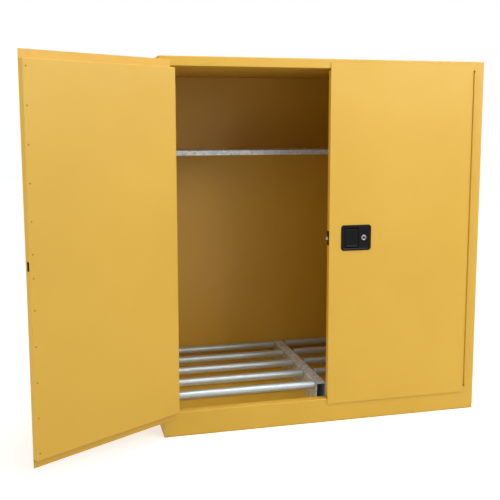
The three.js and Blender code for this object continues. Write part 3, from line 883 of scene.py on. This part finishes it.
# ---- Vents and ground lug ----
ARRESTER = Values(thick=3 * MM, pitch=6.4 * MM, hole=1.7 * MM, rows=3, sides=10)
VENT_CAP = Values(
    thick=8 * MM,
    spigot=24.5 * MM,
    rim=2 * MM,
    dish=19 * MM,
    socket_half=9 * MM,
    socket_depth=5 * MM,
    edge=0.4 * MM,
)
NOTCH = Values(count=12, radius=3.5 * MM, outside=1.5 * MM)
LUG = Values(tab=2 * MM, edge=0.5 * MM, corner=5 * MM)
STUD = Values(crest=4 * MM, root=3.5 * MM, tip=3 * MM, lead=0.8 * MM)
NUT = Values(radius=7 * MM, top=6.2 * MM, bore=4.1 * MM, height=4 * MM, chamfer=0.6 * MM)


def arrester(centre, middle):
    """A disc drilled in a close hexagonal pattern."""
    y, z = centre
    pitch = ARRESTER.pitch
    rows = range(-ARRESTER.rows, ARRESTER.rows + 1)
    holes = []
    for row in rows:
        for column in rows:
            u = y + (column + row / 2) * pitch
            v = z + row * pitch * math.sqrt(3) / 2
            if math.hypot(u - y, v - z) < VENT.bore - pitch / 2:
                holes.append([(u + a, v + b) for a, b in circle(ARRESTER.hole, ARRESTER.sides)])
    rim = [(y + a, z + b) for a, b in circle(VENT.bore + MM / 2)]
    span = (middle - ARRESTER.thick / 2, middle + ARRESTER.thick / 2)
    return perforated("disc", "x", rim, holes, span)


def vent(side):
    """A flanged pipe through both walls, with a flame arrester across it."""
    node = f"vent_{SIDE_NAMES[side]}"
    low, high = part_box("vent_right")
    rim = VENT.rim
    flange = (high.z - low.z) / 2
    profile = [
        (VENT.bore, low.x),
        (VENT.lock_ring - rim / 3, low.x),
        (VENT.lock_ring, low.x + rim / 3),
        (VENT.lock_ring, low.x + rim),
        (VENT.pipe, low.x + rim),
        (VENT.pipe, high.x - rim),
        (flange, high.x - rim),
        (flange, high.x - rim / 2),
        (flange - rim / 2, high.x),
        (VENT.bore + rim / 3, high.x),
        (VENT.bore, high.x - rim / 3),
    ]
    centre = across(node, "x")
    pipe = turned("pipe", "x", centre, [(radius, side * x) for radius, x in profile], hollow=True)
    disc = arrester(centre, side * (low.x + high.x) / 2)
    stand_in(gather(f"flanged_{node}", [pipe, disc]), node)


def vent_cap(side):
    """A screw cap with finger notches round its rim and a square socket for its key."""
    node = f"vent_cap_{SIDE_NAMES[side]}"
    low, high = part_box("vent_cap_right")
    radius = (high.z - low.z) / 2
    rim = VENT_CAP.rim
    top = high.x
    seat = top - VENT_CAP.thick
    profile = [
        (VENT_CAP.spigot, low.x),
        (VENT_CAP.spigot, seat),
        (radius - 0.4 * rim, seat),
        (radius, seat + 0.4 * rim),
        (radius, top - rim),
        (radius - 0.3 * rim, top - 0.3 * rim),
        (radius - rim, top),
        (VENT_CAP.dish + rim / 2, top),
        (VENT_CAP.dish, top - rim / 2),
        (VENT_CAP.dish - 2 * rim, top - rim / 2),
    ]
    y, z = across(node, "x")
    half = VENT_CAP.socket_half
    socket = (y - half, y + half, z - half, z + half)
    socket_span = (side * (top - VENT_CAP.socket_depth), side * (top + CAP))
    tools = [block("tool", "x", socket, socket_span, SHARP, MM)]
    notch_span = (side * (seat - MM), side * (top + MM))
    for u, v in circle(radius + NOTCH.outside, NOTCH.count):
        tools.append(hole("x", (y + u, z + v), NOTCH.radius, notch_span, FEW_SIDES))
    cap = turned(f"screw_{node}", "x", (y, z), [(r, side * x) for r, x in profile])
    stand_in(break_edges(carve(cap, *tools), VENT_CAP.edge), node)


def ground_lug():
    """A brass tab with a threaded stud and a hexagon nut for the bonding wire."""
    low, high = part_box("ground_lug")
    centre = across("ground_lug", "x")
    tab_top = low.x + LUG.tab
    tab_rect = (low.y, high.y, low.z, high.z)
    tab = block("tab", "x", tab_rect, (low.x, tab_top), LUG.edge, LUG.corner)
    thread = []
    for turn in range(int((high.x - tab_top) / STUD.lead)):
        start = tab_top + turn * STUD.lead
        thread += [(STUD.root, start), (STUD.crest, start + STUD.lead / 2)]
    thread += [(STUD.root, high.x - MM / 2), (STUD.tip, high.x)]
    stud = turned("stud", "x", centre, thread, SMALL_SIDES)
    nut_top = tab_top + NUT.height
    nut_profile = [
        (NUT.radius, tab_top),
        (NUT.radius, nut_top - NUT.chamfer),
        (NUT.top, nut_top),
        (NUT.bore, nut_top),
    ]
    nut = turned("nut", "x", centre, nut_profile, 6)
    stand_in(gather("bonding_lug", [tab, stud, nut]), "ground_lug")


# ---- Latch ----
BEZEL = Values(
    corner=13 * MM,
    crown=2.4 * MM,
    rim=8.5 * MM,
    rim_corner=4.5 * MM,
    rim_edge=0.8 * MM,
    sunk=1.5 * MM,
    field_corner=3 * MM,
    field_edge=0.5 * MM,
    cap=30 * MM,
    edge=0.35 * MM,
)
POCKET = Values(half_height=46 * MM, depth=11 * MM, gap=2 * MM, corner=3 * MM, edge=0.8 * MM)
TRUNNION = Values(radius=2.5 * MM, length=5 * MM, socket=3 * MM, barrel=4 * MM, edge=0.3 * MM)
LOCK_HOLE = 10.5 * MM
PADDLE = Values(
    thick=5 * MM,
    corner=4 * MM,
    crown=1.4 * MM,
    rim=4.5 * MM,
    rim_corner=2.5 * MM,
    dish=0.7 * MM,
    dish_from_side=6 * MM,
    dish_corner=2 * MM,
    cap=18 * MM,
    edge=0.5 * MM,
)
LIP = Values(bottom=0.5 * MM, top=4.5 * MM, from_side=1 * MM, edge=0.8 * MM)


def paddle_sides():
    """The left and right edges of the paddle's plate, between its trunnions."""
    low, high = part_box("latch_paddle")
    return (low.x + TRUNNION.length, high.x - TRUNNION.length)


def latch_bezel():
    """The black surround: a crowned rim round a sunk field, with the paddle's pocket in it."""
    low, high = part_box("latch_bezel")
    rect = (low.x, high.x, low.z, high.z)
    field = low.y + BEZEL.sunk
    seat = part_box("door_skin_right")[0].y - SEAM
    rings = [
        ring(rect, field, BEZEL.cap),
        ring(rect, field, BEZEL.rim + BEZEL.sunk, BEZEL.field_corner),
        ring(rect, low.y, BEZEL.rim, BEZEL.rim_corner),
        ring(rect, low.y, 0, BEZEL.corner),
        ring(rect, seat, 0, BEZEL.corner),
        ring(rect, seat, BEZEL_TRAY, BEZEL.field_corner),
        ring(rect, high.y, BEZEL_TRAY, BEZEL.field_corner),
        ring(rect, high.y, BEZEL.cap),
    ]
    radii = [0, BEZEL.field_edge, BEZEL.rim_edge, BEZEL.crown, 0, 0, MM, 0]
    body = pressed("latch_surround", "y", rings, radii)
    left, right = paddle_sides()
    bottom = LATCH_HEIGHT - POCKET.half_height
    top = LATCH_HEIGHT + POCKET.half_height
    pocket = (left - POCKET.gap, right + POCKET.gap, bottom, top)
    pocket_span = (low.y - CAP, FRONT + POCKET.depth)
    paddle_low, paddle_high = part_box("latch_paddle")
    socket_span = (paddle_low.x - MM, paddle_high.x + MM)
    carve(
        body,
        block("tool", "y", pocket, pocket_span, POCKET.edge, POCKET.corner),
        hole("y", (LOCK_X, LOCK_Z), LOCK_HOLE, (low.y - CAP, high.y + CAP)),
        hole("x", PADDLE_AXIS, TRUNNION.socket, socket_span, SMALL_SIDES),
    )
    stand_in(break_edges(body, BEZEL.edge), "latch_bezel")


def latch_paddle():
    """The pull: a dished plate hung from trunnions, its lower edge turned in to grip."""
    low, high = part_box("latch_paddle")
    left, right = paddle_sides()
    face = low.y
    bottom_of_dish = face + PADDLE.dish
    back = face + PADDLE.thick
    rect = (left, right, low.z, high.z)
    edge = PADDLE.edge
    rings = [
        ring(rect, bottom_of_dish, PADDLE.cap),
        ring(rect, bottom_of_dish, PADDLE.dish_from_side, PADDLE.dish_corner),
        ring(rect, face, PADDLE.rim, PADDLE.rim_corner),
        ring(rect, face, 0, PADDLE.corner),
        ring(rect, back, 0, PADDLE.corner),
        ring(rect, back, PADDLE.cap),
    ]
    plate = pressed("latch_pull", "y", rings, [0, edge, edge, PADDLE.crown, edge, 0])
    chamfer = TRUNNION.edge
    trunnion = (TRUNNION.radius, (low.x, high.x), chamfer, SMALL_SIDES)
    inset = LIP.from_side
    lip = (left + inset, right - inset, low.z + LIP.bottom, low.z + LIP.top)
    unite(
        plate,
        chamfered("tool", "x", PADDLE_AXIS, TRUNNION.barrel, (left, right), chamfer),
        block("tool", "y", lip, (back - MM, high.y), LIP.edge),
        chamfered("tool", "x", PADDLE_AXIS, *trunnion),
    )
    stand_in(plate, "latch_paddle")


# Radius and depth behind the face, in millimetres, of each turn of the lock's front from the plug
# outwards: the plug, the groove round it and the dished collar; then the collar's rim, from its edge.
LOCK_FACE = ((5.4, 0.9), (5.9, 0.9), (6.0, 1.6), (6.6, 1.6), (6.7, 0.8), (10.5, 0.0))
LOCK_RIM = ((0.9, 0.05), (0.2, 0.5), (0.0, 1.0))
LOCK = Values(
    collar=12.2 * MM,
    collar_thick=1.5 * MM,
    barrel=10 * MM,
    plug=6.3 * MM,
    keyway=(MM, 4 * MM, 11 * MM),
    cam_half=5 * MM,
    cam_thick=2 * MM,
    cam_edge=0.4 * MM,
)


def lock_cylinder():
    """The key cylinder: a bright dished collar, a dark plug with its keyway, and the cam behind."""
    low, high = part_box("lock_cylinder")
    face = low.y
    seat = face + LOCK.collar_thick
    profile = [(radius * MM, face + depth * MM) for radius, depth in LOCK_FACE]
    profile += [(LOCK.collar - inset * MM, face + depth * MM) for inset, depth in LOCK_RIM]
    profile += [(LOCK.collar, seat), (LOCK.barrel, seat), (LOCK.barrel, high.y)]
    body = turned("key_lock", "y", (LOCK_X, LOCK_Z), profile)
    cam_rect = (low.x, LOCK_X, LOCK_Z - LOCK.cam_half, LOCK_Z + LOCK.cam_half)
    unite(body, block("tool", "y", cam_rect, (high.y - LOCK.cam_thick, high.y), LOCK.cam_edge))
    half_width, half_height, depth = LOCK.keyway
    keyway = (LOCK_X - half_width, LOCK_X + half_width, LOCK_Z - half_height, LOCK_Z + half_height)
    carve(body, block("tool", "y", keyway, (face - MM, face + depth), SHARP))
    stand_in(body, "lock_cylinder", lock_plug())
    for polygon in body.data.polygons:
        centre = polygon.center
        in_plug = math.hypot(centre.x - LOCK_X, centre.z - LOCK_Z) < LOCK.plug
        polygon.material_index = int(in_plug and centre.y < high.y - MM)


BOLT = Values(nose_points=17, edge=0.5 * MM)


def latch_bolt():
    """The centre bolt, with a round nose that a closing door pushes in."""
    low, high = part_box("latch_bolt")
    radius = (high.y - low.y) / 2
    nose_x = low.x + radius
    nose_y = low.y + radius
    outline = [(high.x, low.y), (high.x, high.y)]
    for turn in np.linspace(math.pi / 2, 3 * math.pi / 2, BOLT.nose_points):
        outline.append((nose_x + radius * math.cos(turn), nose_y + radius * math.sin(turn)))
    bolt = skin("centre_bolt", [[(x, y, z) for x, y in outline] for z in (low.z, high.z)])
    stand_in(break_edges(bolt, BOLT.edge), "latch_bolt")


EDGE_PLATE_CORNER = 2 * MM
SCREW = Values(from_end=10 * MM, head=4 * MM, hole=2.6 * MM, sink=0.7 * MM, depth=0.8 * MM)


def edge_plate():
    """The plate round the bolt, with two countersunk screw holes."""
    low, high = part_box("latch_edge_plate")
    rect = (low.y, high.y, low.z, high.z)
    plate = block("bolt_plate", "x", rect, (low.x, high.x), SEAM, EDGE_PLATE_CORNER)
    tools = [block("tool", "x", bolt_slot(), (low.x - CAP, high.x + CAP), SHARP)]
    middle = across("latch_edge_plate", "x")[0]
    dish = [
        (SCREW.head, low.x - SHARP),
        (SCREW.hole, low.x + SCREW.sink),
        (SCREW.hole, low.x + SCREW.depth),
    ]
    for z in (low.z + SCREW.from_end, high.z - SCREW.from_end):
        tools.append(turned("tool", "x", (middle, z), dish, SMALL_SIDES))
    stand_in(carve(plate, *tools), "latch_edge_plate")


ROD_TAPER = 5 * MM
ROD_CHAMFER = 0.6 * MM


def latch_rod(end):
    """The rod, tapered at its tip, that locks the right-hand door into the header or the sill."""
    node = f"latch_rod_{end}"
    low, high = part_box(node)
    tip, tail = (high.z, low.z) if end == "top" else (low.z, high.z)
    inward = math.copysign(1, tail - tip)
    radius = (high.x - low.x) / 2
    profile = [
        (0.4 * radius, tip),
        (0.6 * radius, tip + inward * ROD_CHAMFER),
        (radius, tip + inward * ROD_TAPER),
        (radius, tail - inward * ROD_CHAMFER),
        (radius - ROD_CHAMFER, tail),
    ]
    stand_in(turned(f"locking_{node}", "z", across(node, "z"), profile, SMALL_SIDES), node)


# ---- The whole object ----
PLAIN_SHEETS = ("inner_side_left", "inner_side_right", "inner_ceiling", "inner_back", "outer_base")


def plain_sheets():
    """CAD nodes that are already right as flat sheets: they only take their finish."""
    for node in PLAIN_SHEETS:
        for slot in frame["nodes"][node].material_slots:
            slot.material = FINISHES[SLOT_OF[node]]


def cabinet():
    """Every piece of the cabinet."""
    plain_sheets()
    front_frame()
    outer_top()
    outer_back()
    sump_pan()
    shelf()
    ground_lug()
    for side, name in SIDE_NAMES.items():
        outer_side(side)
        vent(side)
        vent_cap(side)
        shelf_bracket(side)
        door_skin(side)
        door_pan(side)
        hinge_leaf(side, "frame")
        hinge_leaf(side, "door")
        round_bar(f"hinge_pin_{name}", f"piano_hinge_pin_{name}", "z", PIN_CHAMFER)
        rail(side, "inner")
        rail(side, "outer")
        for number in range(1, ROLLERS + 1):
            round_bar(f"axle_{name}_{number}", f"roller_axle_{name}_{number}", "x", AXLE_CHAMFER)
            roller(f"roller_{name}_{number}")
    latch_bezel()
    latch_paddle()
    lock_cylinder()
    latch_bolt()
    edge_plate()
    latch_rod("top")
    latch_rod("bottom")


# ---- Studio ----
FLOOR = Values(reach=300.0, below=0.5 * MM, bounce=0.50, lift=0.28)
WHITE = (1, 1, 1, 1)
SKY = Values(colour=(0.98, 0.99, 1.0, 1), horizon=0.22, zenith=1.10)

# Each lamp's place, the point it faces, its size and its power in watts.
LAMPS = {
    "key": ((2.3, -4.2, 2.9), (0.1, -0.4, 1.0), (2.6, 2.4), 64),
    "right": ((3.6, -2.4, 2.5), (-1.0, -0.6, 1.2), (1.4, 1.4), 30),
    "overhead": ((0.2, -1.5, 4.6), (-0.1, -0.6, 0.8), (3.2, 1.2), 62),
    "left": ((-4.6, -2.4, 1.6), (-1.3, -0.8, 0.8), (1.6, 1.6), 48),
}
CAMERA = Values(
    place=(-1.176, -3.745, 1.377), turn=-14.44, tilt=-7.48,
    lens=56.7, shift=(-0.017, -0.049),
)


def floor():
    """A pale floor: near white to the camera, duller in the light it throws back."""
    mesh = bpy.data.meshes.new("floor")
    reach = FLOOR.reach
    corners = [(-reach, -reach, 0), (reach, -reach, 0), (reach, reach, 0), (-reach, reach, 0)]
    mesh.from_pydata(corners, [], [(0, 1, 2, 3)])
    plane = add("floor", mesh)
    plane.location.z = -FLOOR.below
    finish = Finish("pale_floor", Roughness=0.7)
    cloud = finish.remap(finish.noise(0.8, 3.0), 0.3, 0.7)
    seen = finish.mix(cloud, (0.90, 0.90, 0.90, 1), (0.94, 0.94, 0.94, 1))
    camera_ray = finish.camera_ray()
    bounced = (FLOOR.bounce, FLOOR.bounce, FLOOR.bounce, 1)
    glow = finish.remap(camera_ray, 0, 1, 0, FLOOR.lift)
    tone = finish.mix(camera_ray, bounced, seen)
    pale = finish.show(Base_Color=tone, Emission_Color=WHITE, Emission_Strength=glow)
    mesh.materials.append(pale)


def softbox(name, location, aim, size, power):
    """A white rectangular lamp that faces a point."""
    light = bpy.data.lights.new(name, "AREA")
    light.shape = "RECTANGLE"
    light.size, light.size_y = size
    light.energy = power
    lamp = add(name, light)
    lamp.location = location
    lamp.rotation_euler = (Vector(aim) - Vector(location)).to_track_quat("-Z", "Y").to_euler()


def surround():
    """White to the camera; to the cabinet, a tent that is bright overhead and dim at the horizon."""
    world = bpy.data.worlds.new("surround")
    bpy.context.scene.world = world
    world.use_nodes = True
    sky = Nodes(world.node_tree)
    direction = sky.node("ShaderNodeTexCoord").outputs["Generated"]
    height = sky.node("ShaderNodeSeparateXYZ", {"Vector": direction}).outputs["Z"]
    strength = sky.remap(height, 0, 1, SKY.horizon, SKY.zenith)
    lit = sky.node("ShaderNodeBackground", {"Color": SKY.colour, "Strength": strength})
    seen = sky.node("ShaderNodeBackground", {"Color": WHITE})
    inputs = {0: sky.camera_ray(), 1: lit.outputs[0], 2: seen.outputs[0]}
    shown = sky.node("ShaderNodeMixShader", inputs).outputs[0]
    sky.put(sky.tree.nodes["World Output"].inputs["Surface"], shown)


def studio():
    """A white room: pale floor, even white surround and soft lamps in front."""
    floor()
    surround()
    for name, lamp in LAMPS.items():
        softbox(name, *lamp)
    bpy.context.scene.view_settings.view_transform = "Standard"


def camera():
    """The view that the scene is rendered from."""
    data = bpy.data.cameras.new("camera")
    data.sensor_width = 36
    data.lens = CAMERA.lens
    data.shift_x, data.shift_y = CAMERA.shift
    view = add("camera", data)
    view.location = CAMERA.place
    view.rotation_euler = (math.radians(90 + CAMERA.tilt), 0, math.radians(CAMERA.turn))
    bpy.context.scene.camera = view


cabinet()
studio()
camera()
